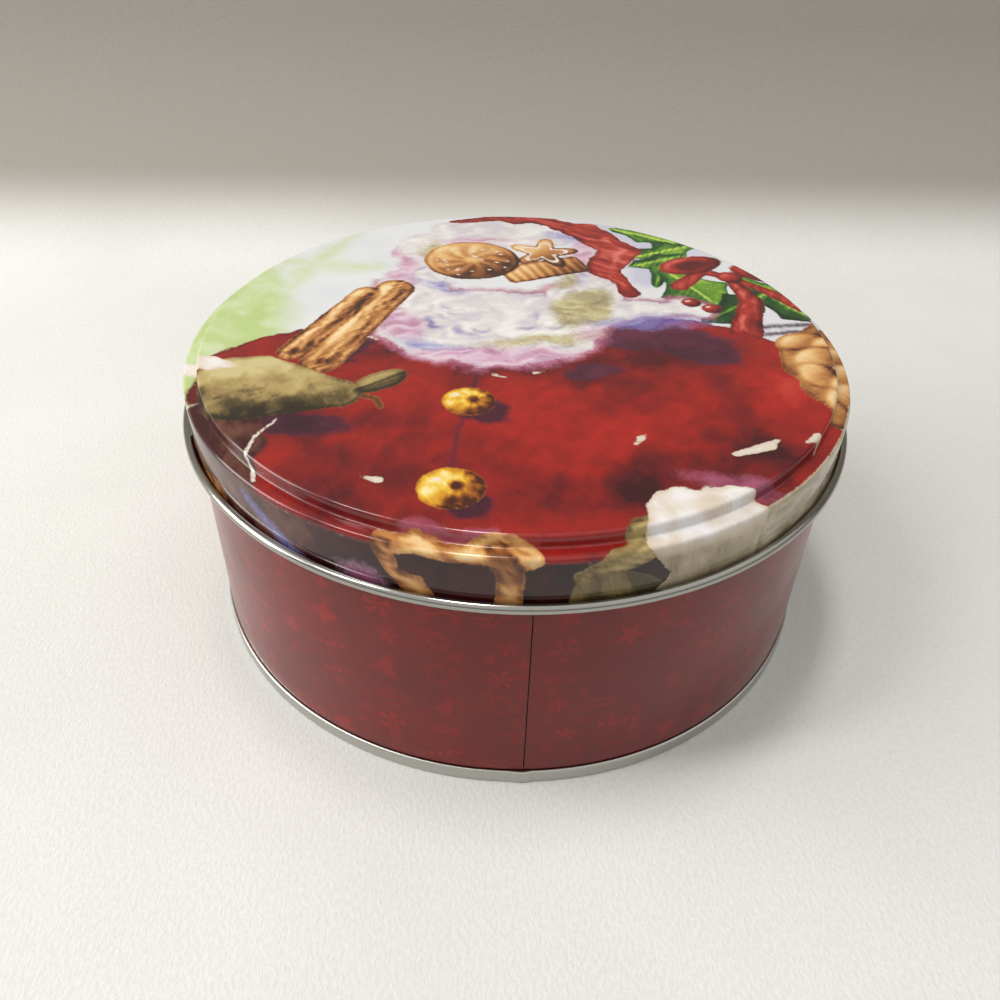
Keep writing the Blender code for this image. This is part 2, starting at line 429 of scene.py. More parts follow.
def wall_figures(paint, place, cell, shift, turn, seed):
    """One layer of small tone-on-tone ornaments, each turned, sized and placed by chance in its cell."""
    moved = paint.local(place, (cell * CELL_WIDTH, cell, 1.0), turn, shift)
    number = paint.vector("FLOOR", moved)
    chances = []
    for offset in (seed, seed + 31.0):
        spot = paint.vector("ADD", number, [offset] * 3)
        chances.append(paint.node("ShaderNodeTexWhiteNoise", spot).outputs["Color"])
    pick, sway, grow = paint.split(chances[0])
    inside = paint.vector("SUBTRACT", paint.vector("FRACTION", moved), (0.5, 0.5, 0.0))
    slip = paint.vector("MULTIPLY", paint.vector("SUBTRACT", chances[1], [0.5] * 3), FIGURE_SLIP)
    inside = paint.vector("MULTIPLY", paint.vector("ADD", inside, slip), (CELL_WIDTH, 1.0, 0.0))
    spun = paint.node("ShaderNodeVectorRotate", inside, rotation_type="Z_AXIS")
    paint.feed(spun.inputs["Angle"], sway * (2 * FIGURE_TILT) - FIGURE_TILT)
    u, v, _ = paint.split(spun.outputs[0])
    size = grow * 0.45 + 0.75
    u = u / size
    v = v / size
    radius = paint.math("SQRT", u * u + v * v)
    angle = paint.math("ARCTAN2", v, u)

    def petals(count, size, depth):
        return radius - paint.math("COSINE", angle * count) * depth - size

    def within(shape, reach, level):
        return paint.math("MAXIMUM", shape, abs(reach) - level)

    def wave(rate, depth):
        return v - paint.math("SINE", u * rate) * depth

    def ribbon(rate, depth, thick):
        return within(abs(abs(wave(rate, depth)) - 0.10) - thick, u, 0.50)

    def garland(count, rate, depth, bead):
        """A row of beads along a gentle wave."""
        step = (paint.math("FRACT", u * count) - 0.5) / count
        line = wave(rate, depth)
        return within(paint.math("SQRT", step * step + line * line) - bead, u, 0.52)

    star = petals(5.0, 0.22, 0.10)
    flake = petals(6.0, 0.20, 0.14)
    blossom = petals(4.0, 0.24, 0.07)
    wreath = abs(petals(9.0, 0.25, 0.055)) - 0.035
    tree = within(abs(u) + v * 0.42 - 0.15, v, 0.36)
    twirl = paint.math("SINE", radius * 7.0 + angle * 5.0)
    sweet = paint.math("MAXIMUM", twirl * -0.08, radius - 0.33)
    shapes = (garland(6.0, 7.0, 0.10, 0.058), star, ribbon(9.0, 0.07, 0.035), flake,
              garland(4.0, 5.0, 0.08, 0.085), wreath, sweet, blossom, garland(8.0, 11.0, 0.05, 0.042), tree)
    total = 0.0
    for i, shape in enumerate(shapes):
        chosen = paint.math("COMPARE", pick, (i + 0.5) / len(shapes), 0.5 / len(shapes))
        total = chosen * paint.ramp(shape, FIGURE_EDGE, -FIGURE_EDGE) + total
    return total


def wall_print():
    """Dark red ground with a faint scatter of ornaments a shade lighter, cloudy like worn ink."""
    paint = Paint(bpy.data.materials.new("wall_print"))
    place = paint.sheet()
    clouds = paint.noise(place, 26.0, 4.0, 0.6)
    mottle = paint.noise(place, 2.2, 4.0, 0.75)
    base = paint.mix(paint.ramp(clouds, 0.3, 0.7), WALL_INK_DEEP, WALL_INK)
    large = wall_figures(paint, place, 11.0, (3.0, 4.0), 2.0, 3.0)
    small = wall_figures(paint, place, 6.0, (1.0, -2.0), -1.5, 11.0)
    worn = paint.ramp(clouds + mottle * 0.9, 0.78, 1.15, 0.30, 0.94)
    base = paint.mix(paint.math("MAXIMUM", large, small * 0.6) * worn, base, WALL_FIGURE)
    base = paint.mix(paint.ramp(mottle, 0.40, 0.75, 0.0, 0.35), base, WALL_INK_DEEP)
    # painted shade: the print turns almost black along both edges of the side seam's slit
    from_slit = abs(paint.split(place)[0] - SLIT_WIDTH / MM / 2)
    base = paint.mix(paint.ramp(from_slit, 0.30, 0.15, 0.0, 0.5), base, SLIT_SHADE)
    varnish(paint, base, place, WALL_GLOSS, WALL_DENSITY)
    paint.surface({"Coat Weight": WALL_COAT, "Coat Roughness": WALL_COAT_GLOSS})
    return paint.owner


# ---------------------------------------------------------------- the lid's picture

WHITE_COAT = 0.76                 # how light the white under the inks is
LID_GLOSS = 0.09
LID_DENSITY = 1.5
HOLLY_TEETH = 2.5                 # hollows along one edge of a leaf

# The layers from the paper upwards. Each has the softness and the roughness of its edges in
# millimetres, its cover, and the colours, as ink() takes them, that its tone runs through.
LAYERS = {
    "haze": (6.0, 2.0, 0.9, (176, 202, 104), (200, 218, 150), (222, 230, 212)),
    "cloud": (5.0, 2.0, 0.8, (176, 176, 208), (206, 204, 222), (226, 224, 232)),
    "holly": (0.30, 0.5, 1.0, (22, 48, 26), (44, 96, 38), (108, 156, 44), (198, 220, 96)),
    "sack": (0.45, 0.8, 1.0, (60, 16, 24), (108, 24, 26), (148, 30, 26), (176, 36, 28), (206, 66, 54)),
    "plum": (1.2, 1.2, 0.92, (34, 18, 32), (70, 30, 50), (96, 44, 70), (120, 92, 150)),
    "cloth": (0.6, 0.8, 1.0, (24, 10, 12), (66, 22, 24), (104, 62, 50), (150, 126, 104)),
    "blush": (2.0, 1.5, 0.85, (120, 44, 70), (190, 110, 140), (226, 184, 200)),
    "fleece": (0.7, 1.6, 1.0, (140, 130, 168), (190, 182, 204), (224, 218, 218), (246, 245, 240)),
    "moss": (2.2, 2.0, 0.8, (132, 118, 60), (178, 160, 84), (212, 204, 150)),
    "sky": (2.0, 2.0, 0.8, (84, 58, 150), (140, 140, 200), (196, 196, 224)),
    "rose": (2.4, 2.0, 0.8, (170, 90, 130), (212, 160, 190), (232, 206, 222)),
    "satin": (0.35, 0.5, 1.0, (72, 18, 22), (126, 30, 30), (178, 52, 42), (226, 120, 104)),
    "bake": (0.35, 0.5, 1.0, (64, 36, 24), (136, 80, 42), (198, 136, 76), (232, 184, 118), (248, 222, 172)),
    "pear": (0.40, 0.5, 1.0, (46, 38, 26), (92, 78, 46), (158, 134, 84), (188, 166, 108), (210, 194, 140)),
    "gold": (0.35, 0.5, 1.0, (74, 34, 16), (150, 82, 26), (212, 146, 36), (240, 196, 64), (252, 232, 160)),
    "snow": (0.25, 0.5, 1.0, (150, 136, 108), (206, 190, 162), (228, 214, 198), (248, 247, 248)),
}
PAPER = ((214, 215, 226), (230, 232, 234), (240, 241, 240))


def ink(colour):
    """A printed colour, given in 0 to 255 as a paint box names it, as linear light off the sheet."""
    def linear(value):
        value /= 255
        return WHITE_COAT * (value / 12.92 if value <= 0.04045 else ((value + 0.055) / 1.055) ** 2.4)
    return [linear(value) for value in colour]


LUMP_TABLE = 256                  # random numbers along each side of a field before it repeats
LUMP_SHIFT = (97.3, 61.7)         # keeps zero away from the table's corner
LUMP_FADE = 0.6                   # weight of each finer octave against the one before


def lumps(x, y, size, seed, octaves=3):
    """Smooth random field in 0 to 1, with lumps about size across and finer ones on them."""
    total = 0.0
    weight = 0.0
    for octave in range(octaves):
        table = np.random.default_rng(seed * 10 + octave).random((LUMP_TABLE, LUMP_TABLE))
        u = x / size * 2 ** octave + LUMP_SHIFT[0]
        v = y / size * 2 ** octave + LUMP_SHIFT[1]
        i, j = np.floor(u).astype(int), np.floor(v).astype(int)
        fu, fv = u - i, v - j
        fu, fv = fu * fu * (3 - 2 * fu), fv * fv * (3 - 2 * fv)
        i, j, k, m = (cell % LUMP_TABLE for cell in (i, j, i + 1, j + 1))
        low = table[i, j] * (1 - fu) + table[k, j] * fu
        high = table[i, m] * (1 - fu) + table[k, m] * fu
        total = total + (low * (1 - fv) + high * fv) * LUMP_FADE ** octave
        weight += LUMP_FADE ** octave
    return total / weight


def smooth(value, low, high):
    t = np.clip((value - low) / (high - low), 0.0, 1.0)
    return t * t * (3 - 2 * t)


class Picture:
    """A painting worked out on a sheet: for each layer the distance in millimetres from its outline,
    below zero inside it, and its tone in 0 to 1. x runs to the right and y to the back."""

    def __init__(self, x, y):
        turn = math.radians(-CAMERA_TURN)
        x, y = x * math.cos(turn) - y * math.sin(turn), x * math.sin(turn) + y * math.cos(turn)
        self.crisp = (x + 1.0 * (lumps(x, y, 5, 1) - 0.5), y + 1.0 * (lumps(x, y, 5, 2) - 0.5))
        self.loose = (x + 7.0 * (lumps(x, y, 9, 3) - 0.5), y + 7.0 * (lumps(x, y, 9, 4) - 0.5))
        self.out = np.hypot(x, y)
        self.wash = smooth(lumps(x, y, 26, 5), 0.25, 0.75)
        self.mottle = smooth(lumps(*self.loose, 6, 6), 0.25, 0.75)
        self.bristle = self.streaks(1.6, 9.0, 35.0, 7)
        self.shapes = {name: np.full_like(x, 50.0) for name in LAYERS}
        self.tones = {name: np.full_like(x, 0.5) for name in LAYERS}

    def local(self, centre, turn, place):
        """Place seen from a shape's own frame."""
        c, s = math.cos(math.radians(turn)), math.sin(math.radians(turn))
        dx, dy = place[0] - centre[0], place[1] - centre[1]
        return dx * c + dy * s, dy * c - dx * s

    def streaks(self, wide, long, turn, seed):
        """Brush marks, as a tone in 0 to 1."""
        u, v = self.local((0, 0), turn, self.loose)
        return smooth(lumps(u / long * wide, v, wide, seed, 2), 0.2, 0.8)

    def lit(self, x, y, wide, deep, turn=0.0, towards=(-0.6, 0.75)):
        """Tone of a round form, bright on the side towards the light."""
        u, v = self.local((x, y), turn, self.crisp)
        slope = u / wide * towards[0] + v / deep * towards[1]
        return 0.12 + 0.78 * smooth(slope, -1.0, 0.9) + 0.18 * (self.mottle - 0.5)

    def oval(self, x, y, wide, deep, turn=0.0, place=None):
        u, v = self.local((x, y), turn, place or self.crisp)
        return (np.hypot(u / wide, v / deep) - 1.0) * min(wide, deep)

    def blot(self, x, y, wide, deep, turn=0.0):
        """An oval with a loose edge, as wet paint leaves it."""
        return self.oval(x, y, wide, deep, turn, self.loose)

    def block(self, x, y, wide, deep, turn, corner):
        u, v = self.local((x, y), turn, self.crisp)
        over_u, over_v = np.abs(u) - wide + corner, np.abs(v) - deep + corner
        outside = np.hypot(np.maximum(over_u, 0), np.maximum(over_v, 0))
        return outside + np.minimum(np.maximum(over_u, over_v), 0) - corner

    def stroke(self, start, end, thick, thin, place=None):
        """A stroke whose half width goes from thick at its start to thin at its end."""
        length = math.dist(start, end)
        turn = math.degrees(math.atan2(end[1] - start[1], end[0] - start[0]))
        u, v = self.local(start, turn, place or self.crisp)
        along = np.clip(u, 0, length)
        return np.hypot(u - along, v) - (thick + (thin - thick) * along / length)

    def path(self, points, thick, thin, place=None):
        """A stroke bent through several points, tapering evenly."""
        count = len(points) - 1
        widths = [thick + (thin - thick) * i / count for i in range(count + 1)]
        parts = [self.stroke(points[i], points[i + 1], widths[i], widths[i + 1], place) for i in range(count)]
        return np.minimum.reduce(parts)

    def smear(self, points, thick, thin):
        """A path with a loose edge."""
        return self.path(points, thick, thin, self.loose)

    def leaf(self, base, tip, width):
        """A holly leaf from its stalk to its tip, with hollows between pointed teeth, and its tone."""
        length = math.dist(base, tip)
        turn = math.degrees(math.atan2(tip[1] - base[1], tip[0] - base[0]))
        u, v = self.local(base, turn, self.crisp)
        t = u / length
        body = np.clip(4 * t * (1 - t), 0, 1) ** 0.7
        hollow = np.abs(np.sin(np.pi * HOLLY_TEETH * np.clip(t, 0, 1)))
        shape = (np.abs(v) - width * body * (1.0 - 0.45 * hollow)) * 0.75
        shape = np.maximum(shape, np.maximum(-u, u - length))
        vein = smooth(np.abs(v), 0.9, 0.2) * 0.5
        side = smooth(v / width, -0.3, 0.3) * 0.35
        ribs = smooth(np.sin(2.4 * (u - 0.8 * np.abs(v))), 0.6, 1.0) * 0.15
        return shape, 0.25 + side + vein + ribs + 0.25 * (self.mottle - 0.5)

    def lay(self, layer, shape, tone, rim=0.0, soft=0.7):
        """Adds a shape in front of its layer's others. rim darkens its wet edge."""
        tone = tone - rim * smooth(shape, -1.8, -0.2)
        here = smooth(shape, soft, -soft)
        self.tones[layer] = self.tones[layer] * (1 - here) + tone * here
        self.shapes[layer] = np.minimum(self.shapes[layer], shape)

    def shade(self, layer, shape, change, soft):
        """Lightens or darkens a layer softly inside a shape."""
        self.tones[layer] = self.tones[layer] + change * smooth(shape, soft, -soft)

    def dapple(self, layer, soft, spots):
        """Shades a layer inside blots, given as x, y, half width, half depth, turn and change."""
        for *spot, change in spots:
            self.shade(layer, self.blot(*spot), change, soft)


def paint_ground(art):
    """A yellow-green haze of fir at the left, and lavender clouds on the white paper."""
    art.lay("haze", art.blot(-92, 2, 22, 48, 6), 0.15 + 0.5 * art.mottle, soft=8)
    for end in ((-60, 70), (-48, 44), (-74, 26), (-88, 50)):
        art.lay("haze", art.smear(((-70, 44), end), 3.4, 0.8), 0.45 + 0.3 * art.mottle, soft=3)
    art.lay("cloud", art.blot(44, 70, 22, 30, 40), 0.35 + 0.6 * art.wash, soft=6)
    art.lay("cloud", art.blot(86, 10, 16, 8, 10), 0.6 + 0.4 * art.wash, soft=3)


def paint_holly(art):
    """Holly leaves at the upper right."""
    leaves = (
        ((96, 44), (108, 60), 6.0, -0.05), ((76, 66), (94, 82), 6.5, 0.0), ((46, 34), (55, 82), 6.5, -0.15),
        ((34, 84), (64, 68), 7.0, 0.15), ((66, 72), (40, 58), 7.5, 0.1), ((60, 62), (38, 50), 5.5, 0.0),
        ((72, 46), (95, 12), 12.0, 0.0), ((50, 50), (72, 8), 14.0, 0.15), ((84, 34), (57, 10), 9.0, -0.1),
        ((84, 52), (104, 30), 7.0, 0.1))
    for base, tip, width, change in leaves:
        shape, tone = art.leaf(base, tip, width)
        art.lay("holly", shape, tone + change, rim=0.4)
    art.dapple("holly", 4.0, [(70, 12, 24, 8, -20, -0.3)])
    art.lay("cloud", art.blot(44, 44, 7, 9), 0.3 * art.wash, soft=4)


def paint_bow(art):
    """A red satin bow with berries, tied to the holly."""
    silk = 0.34 + 0.40 * art.streaks(1.2, 14.0, 80.0, 11)
    notch = art.block(68, 0, 3.6, 3.6, 45, 0.2)
    art.lay("satin", np.maximum(art.path(((72, 42), (76, 26), (70, 4)), 2.2, 5.4), -notch), silk, rim=0.35)
    art.shade("satin", art.path(((72, 40), (75, 26), (69, 6)), 0.5, 1.4), 0.30, 1.2)
    art.shade("satin", art.path(((74, 40), (79, 26), (75, 6)), 0.4, 1.2), -0.30, 1.0)
    for bend, tip in (((82.5, 34), (92, 22)), ((63.5, 48), (54, 36))):
        art.lay("satin", art.path(((73, 43), bend, tip), 1.6, 3.2), silk + 0.1, rim=0.35)
    for x, y, wide, deep, turn in ((60, 53, 11, 6.5, 26), (84, 47, 10, 5.5, -26)):
        art.lay("satin", art.oval(x, y, wide, deep, turn), 0.05 + 0.1 * art.mottle)
        band = np.abs(art.oval(x, y, wide * 0.78, deep * 0.72, turn)) - 1.9
        art.lay("satin", band, art.lit(x, y, wide, deep, turn) * 0.8 + 0.25 * silk, rim=0.3)
    art.lay("satin", art.oval(72, 44, 4.6, 4.2), art.lit(72, 44, 5, 5), rim=0.45)
    for x, y in ((56, 24), (62, 20), (90, 36)):
        art.lay("satin", art.oval(x, y, 3.3, 3.1), art.lit(x, y, 3.6, 3.4), rim=0.4)
        art.lay("snow", art.oval(x - 1.0, y + 1.1, 0.9, 0.7), 0.9)


def paint_basket(art):
    """Nuts and biscuits heaped at the right edge, behind two dark cords."""
    art.lay("bake", art.blot(101, -16, 23, 30), 0.25 + 0.3 * art.mottle, rim=0.2)
    nuts = (
        (86, 0, 9, 5, 24), (96, -3, 9, 6, -16), (88, -10, 9, 6, 40), (99, -15, 8, 7, 0),
        (86, -20, 6, 8, 20), (95, -27, 8, 8, -20), (89, -35, 5, 9, 8), (99, -40, 7, 8, 0),
        (93, -50, 5, 8, -18), (108, -24, 7, 10, 0))
    for nut in nuts:
        art.lay("bake", art.oval(*nut), art.lit(*nut) + 0.05, rim=0.45)
    for low in (3.5, 8.0):
        cord = art.path(((76, low), (90, low + 3), (104, low + 1), (112, low - 3)), 1.0, 1.5)
        art.lay("plum", cord, 0.05 + 0.2 * art.mottle)


def paint_sack(art):
    """A great velvet gift sack: two shoulders and a wide belly, with soft dark folds."""
    sack = np.minimum.reduce([
        art.blot(4, -64, 76, 64), art.blot(-64, -20, 33, 17, 32), art.blot(-52, -74, 19, 28, 28),
        art.blot(60, -18, 36, 25, -34), art.blot(74, -56, 18, 40, 14)])
    nap = art.streaks(2.2, 5.0, 62.0, 21)
    weather = 0.14 * (art.mottle - 0.5) + 0.10 * (nap - 0.5) + 0.14 * (art.wash - 0.5)
    art.lay("sack", np.maximum(sack, art.out - 101.5), 0.44 + weather, rim=0.25)
    art.dapple("sack", 8.0, (
        (-26, -34, 16, 14, 0, 0.12), (14, -46, 26, 20, -10, 0.16), (76, -18, 14, 10, -30, 0.32),
        (86, -42, 7, 24, 14, 0.30), (-8, -80, 14, 6, 0, 0.06), (8, -90, 30, 4, 4, 0.16),
        (-62, -10, 12, 5, 30, 0.02), (72, -66, 6, 18, 20, 0.22), (-58, -74, 5, 12, 20, 0.14),
        (48, -26, 10, 8, -30, 0.14), (70, -36, 8, 10, 0, 0.26), (-40, -66, 10, 8, 0, 0.06)))
    art.dapple("sack", 3.5, (
        (44, -68, 24, 9, 8, -0.20), (29, -74, 5, 13, -6, -0.16), (60, -40, 3, 22, 14, -0.16),
        (63, -56, 9, 6, 0, -0.34), (-50, -60, 16, 6, -30, -0.14), (-56, -48, 18, 5, -8, -0.16),
        (-44, -84, 18, 6, -34, -0.16), (14, -18, 22, 4, 8, -0.26), (-34, -12, 12, 5, 24, -0.20),
        (84, -62, 2.5, 20, -22, -0.26), (20, -26, 8, 4, 0, -0.26), (-14, -30, 3, 10, 10, -0.14),
        (-28, -74, 12, 4, -20, -0.10), (78, -15, 12, 5, -38, -0.16), (34, -34, 13, 7, 20, -0.12),
        (34, -88, 3, 10, 10, -0.24), (-66, -34, 10, 14, 20, -0.20), (-36, -48, 14, 2, 30, -0.10),
        (10, -62, 16, 2, -14, -0.08), (48, -52, 12, 2, 20, -0.12), (16, -80, 20, 9, 6, -0.20),
        (58, -30, 3, 8, 16, -0.10), (-24, -88, 18, 3, 0, -0.10)))
    rng = np.random.default_rng(31)
    for _ in range(110):
        x, y = rng.uniform(-80, 85), rng.uniform(-95, 5)
        reach, slant = rng.uniform(6, 16), math.radians(rng.uniform(55, 125) + 0.35 * x)
        end = (x + reach * math.cos(slant), y + reach * math.sin(slant))
        dab = art.smear(((x, y), end), rng.uniform(1.0, 3.2), 0.4)
        art.shade("sack", dab, rng.uniform(-0.10, 0.09), 1.6)
    art.lay("plum", art.blot(43, -1, 23, 8, -4), 0.30 + 0.35 * art.wash, soft=2)
    art.lay("plum", art.blot(54, -6, 14, 9, -30), 0.25 + 0.2 * art.mottle, soft=2)
    art.lay("plum", art.blot(21, -22, 8, 4, 10), 0.40 + 0.2 * art.mottle, soft=2)
    art.lay("sky", art.blot(40, 9, 17, 3.8, 4), 0.02 + 0.30 * art.mottle, soft=2)
    art.dapple("sack", 5.0, [(46, -10, 24, 6, -8, -0.25)])


def paint_fleece(art):
    """The sack's deep fleece trim: white curls with pink, violet, blue and olive shades."""
    tufts = ((-8, 4, 34, 24, 0), (-34, 22, 12, 22, 6), (22, 22, 13, 22, -12), (-32, 52, 10, 22, 8),
             (24, 50, 9, 20, -6), (-4, 77, 29, 13, 0), (38, 18, 14, 6, 4), (53, 20, 8, 6, 0))
    wool = np.minimum.reduce([art.blot(*tuft) for tuft in tufts])
    art.lay("blush", np.maximum(wool - 2.0, art.loose[1] - 34), 0.15 + 0.7 * art.mottle, soft=2)
    art.lay("fleece", wool, 0.74 + 0.3 * (art.mottle - 0.5) + 0.16 * (art.bristle - 0.5), rim=0.12)
    rng = np.random.default_rng(41)
    for _ in range(150):
        angle, out = rng.uniform(0, 2 * math.pi), rng.uniform(0.35, 1.0) ** 0.6
        x, y = -7 + 34 * out * math.cos(angle), 26 + 46 * out * math.sin(angle)
        droop = angle + rng.uniform(0.9, 1.9)
        reach = rng.uniform(4, 11) / 2
        bend = (x + reach * math.cos(droop), y + reach * math.sin(droop))
        end = (bend[0] + reach * math.cos(droop + 0.8), bend[1] + reach * math.sin(droop + 0.8))
        curl = art.smear(((x, y), bend, end), rng.uniform(0.5, 1.6), 0.3)
        art.shade("fleece", curl, rng.uniform(-0.42, 0.3), 0.9)
    patches = (
        ("rose", -6, -15, 29, 5.5, 3), ("rose", -37, 6, 6, 11, 28), ("rose", 30, 4, 11, 3.5, 24),
        ("rose", -40, 46, 5, 14, 12), ("sky", -25, 31, 9, 3.6, -24), ("sky", -25, -9, 10, 3.4, -20),
        ("sky", 43, 11, 13, 3.0, 10), ("moss", 21, 18, 9, 14, -28), ("moss", 10, -3, 20, 2.6, 14),
        ("moss", 13, 37, 6, 8, -40), ("moss", -30, 60, 3, 8, 10), ("rose", 24, 60, 4, 12, 0),
        ("sky", 18, 74, 8, 3, -30), ("rose", -14, 70, 12, 2.4, 8))
    for layer, *spot, turn in patches:
        patch = np.maximum(art.blot(*spot, turn), wool)
        art.lay(layer, patch, 0.15 + 0.75 * art.streaks(1.8, 7.0, turn + 10, 51), soft=1.5)


def paint_biscuits(art):
    """Golden biscuits in the fleece: a ridged bar, an iced star and a round one with a pressed swirl."""
    bar, star, wheel = (9, 46), (9, 60), (-16, 52)
    u, _ = art.local(bar, 24, art.crisp)
    ridges = art.lit(*bar, 16, 9, 24) * 0.75 + 0.12 + 0.16 * np.sin(u * 1.9)
    art.lay("bake", art.block(*bar, 15, 6.5, 24, 2.0), ridges, rim=0.45)
    u, v = art.local(star, 12, art.crisp)
    reach, points = np.hypot(u, v), np.cos(5 * np.arctan2(v, u))
    art.lay("bake", (reach - 9.5 - 3.4 * points) * 0.8, art.lit(*star, 13, 13) + 0.04, rim=0.5)
    art.lay("snow", np.abs(reach - 6.2 - 2.2 * points) * 0.8 - 0.7, 0.75 + 0.2 * art.mottle)
    art.lay("bake", art.oval(*wheel, 16.5, 15.5), art.lit(*wheel, 17, 16) + 0.05, rim=0.5)
    u, v = art.local(wheel, 0, art.crisp)
    reach = np.hypot(u, v)
    swirl = np.sin(9 * np.arctan2(v, u) + reach * 0.35)
    art.shade("bake", np.maximum(-swirl * 2.0, np.abs(reach - 8.2) - 4.6), -0.22, 0.8)
    art.shade("bake", np.abs(reach - 13.4) - 0.5, -0.2, 0.8)
    art.shade("bake", reach - 2.2, 0.22, 1.0)
    rng = np.random.default_rng(61)
    for _ in range(26):
        angle, out = rng.uniform(0, 2 * math.pi), rng.uniform(2, 13)
        grain = (wheel[0] + out * math.cos(angle), wheel[1] + out * math.sin(angle))
        art.lay("snow", art.oval(*grain, 0.75, 0.6), 0.8, soft=0.3)


def paint_ribbon(art):
    """A satin ribbon over the top of the fleece, falling to the right."""
    silk = 0.28 + 0.5 * art.streaks(1.6, 12.0, -30.0, 71)
    art.lay("satin", art.smear(((-24, 86), (-6, 92), (12, 88), (26, 76)), 1.6, 6.0), silk, rim=0.3)
    art.lay("satin", art.smear(((24, 80), (36, 64), (29, 46), (38, 30)), 8.0, 3.2), silk + 0.08, rim=0.3)
    art.shade("satin", art.smear(((20, 74), (26, 58), (25, 44)), 2.6, 1.0), -0.3, 1.5)
    art.shade("satin", art.smear(((31, 74), (36, 64), (32, 52)), 1.0, 0.4), 0.4, 1.2)


def paint_cinnamon(art):
    """Two curled cinnamon sticks at the left of the fleece."""
    bark = 0.25 + 0.55 * art.streaks(1.3, 14.0, 69.0, 81)
    art.lay("plum", art.smear(((-36, 20), (-50, -16)), 3.5, 5.0), 0.10 + 0.2 * art.mottle)
    for top, foot, thick in (((-40, 28), (-56, -20), 6.4), ((-49, 24), (-65, -15), 4.6)):
        start, end = Vector(top), Vector(foot)
        art.lay("bake", art.stroke(start, end, thick, thick), bark, rim=0.4)
        side = (end - start).orthogonal().normalized() * thick * 0.45
        art.shade("bake", art.stroke(start + side, end + side, 1.2, 0.8), -0.35, 0.8)
        art.shade("bake", art.stroke(start - side, end - side, 1.3, 0.7), 0.35, 0.8)
        art.shade("bake", art.oval(*end, 2.2, 1.6, 70), -0.5, 0.6)


def paint_pear(art):
    """An olive-gold pear at the left, lying on its side with its leaf, in its own shadow."""
    art.lay("plum", art.blot(-62, -51, 20, 6, -8), 0.12 + 0.2 * art.mottle, soft=3)
    pear = np.minimum(art.stroke((-72, -35), (-49, -37), 17.0, 7.0), art.oval(-78, -33, 12, 14))
    form = 0.85 * art.lit(-68, -33, 24, 19, 0, (-0.30, 0.85)) + 0.17
    art.lay("pear", pear, form + 0.20 * (art.wash - 0.5) + 0.25 * (art.mottle - 0.5), rim=0.35)
    art.dapple("pear", 4.0, [(-77, -26, 9, 6, 24, 0.22)])
    art.dapple("pear", 3.0, [(-60, -45, 14, 4, 12, -0.20), (-64, -31, 3, 8, -24, -0.16)])
    art.dapple("pear", 2.0, [(-86, -40, 3, 6, 10, -0.30)])
    rng = np.random.default_rng(91)
    for _ in range(50):
        angle, out = rng.uniform(0, 2 * math.pi), rng.uniform(0, 1)
        spot = (-70 + 16 * out * math.cos(angle), -35 + 13 * out * math.sin(angle))
        art.shade("pear", art.oval(*spot, rng.uniform(0.4, 0.9), 0.6), rng.uniform(-0.25, 0.1), 0.5)
    art.lay("bake", art.path(((-43, -37), (-38, -39), (-36, -43)), 1.3, 0.9), 0.10)
    along, across = art.local((-44, -35), 40, art.crisp)
    blade = np.hypot((along - 8.0) / 8.5, across / 4.6) * 4.0 - 4.0
    veined = 0.22 + 0.5 * smooth(across, -2.0, 2.4) - 0.3 * smooth(np.abs(across), 0.7, 0.2)
    art.lay("pear", blade, veined, rim=0.3)


def paint_beads(art):
    """Two golden beads strung on a dark cord down the sack."""
    art.lay("plum", art.path(((-11, -23), (-13, -38), (-15, -52), (-16, -76)), 0.7, 0.35), 0.25)
    for x, y, size in ((-13, -39, 7.2), (-15.5, -77, 8.4)):
        art.lay("plum", art.blot(x + 3.5, y - 4, size, size * 0.8, -20), 0.2)
        ball = (size, size * 0.95)
        u, v = art.local((x + 1.2, y + 1.0), 0, art.crisp)
        reach = np.hypot(u, v)
        flutes = 0.12 * np.cos(9 * np.arctan2(v, u))
        glow = art.lit(x, y, *ball, 0, (-0.85, 0.4)) + 0.22 * (art.bristle - 0.5) + flutes
        art.lay("gold", art.oval(x, y, *ball), glow, rim=0.35)
        art.shade("gold", reach - 1.5, -0.60, 0.8)
        art.shade("gold", np.abs(reach - 2.9) - 0.5, 0.18, 0.7)
        art.shade("gold", art.oval(x - 0.6, y - 4.6, 3.6, 1.4, 10), -0.3, 1.2)
        art.shade("gold", art.oval(x + 1.5, y + 4.4, 2.6, 1.0, -20), 0.2, 0.8)
        art.lay("snow", art.oval(x - 3.6, y + 3.0, 1.2, 0.7, 30), 0.95)


